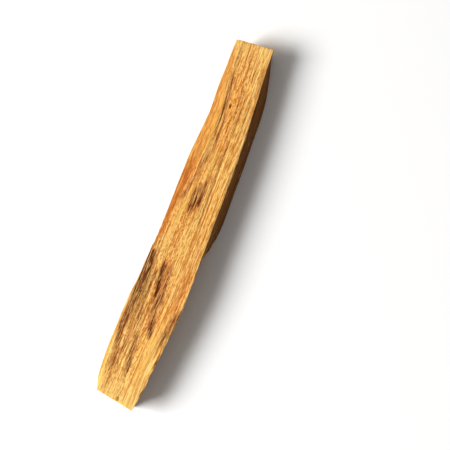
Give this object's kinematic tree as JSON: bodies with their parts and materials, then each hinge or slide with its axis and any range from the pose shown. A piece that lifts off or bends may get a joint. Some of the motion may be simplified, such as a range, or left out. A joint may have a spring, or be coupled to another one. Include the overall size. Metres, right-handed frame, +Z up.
{
  "type": "palo santo stick",
  "caption": "Short stick of resinous wood with a slightly curved outline, split along the grain and sawn at both ends, that lies on its flat underside.",
  "frame": {"origin": "middle of the bounding box in plan, on the surface that the stick lies on", "axes": "+X along the length towards the narrow end, +Y towards the bevelled split flank, +Z up"},
  "size_m": [0.101, 0.0156, 0.0097],
  "materials": {
    "wood": "bare split wood, golden with brown resin streaks"
  },
  "bodies": {
    "root": {"stick": "wood"}
  },
  "joints": []
}
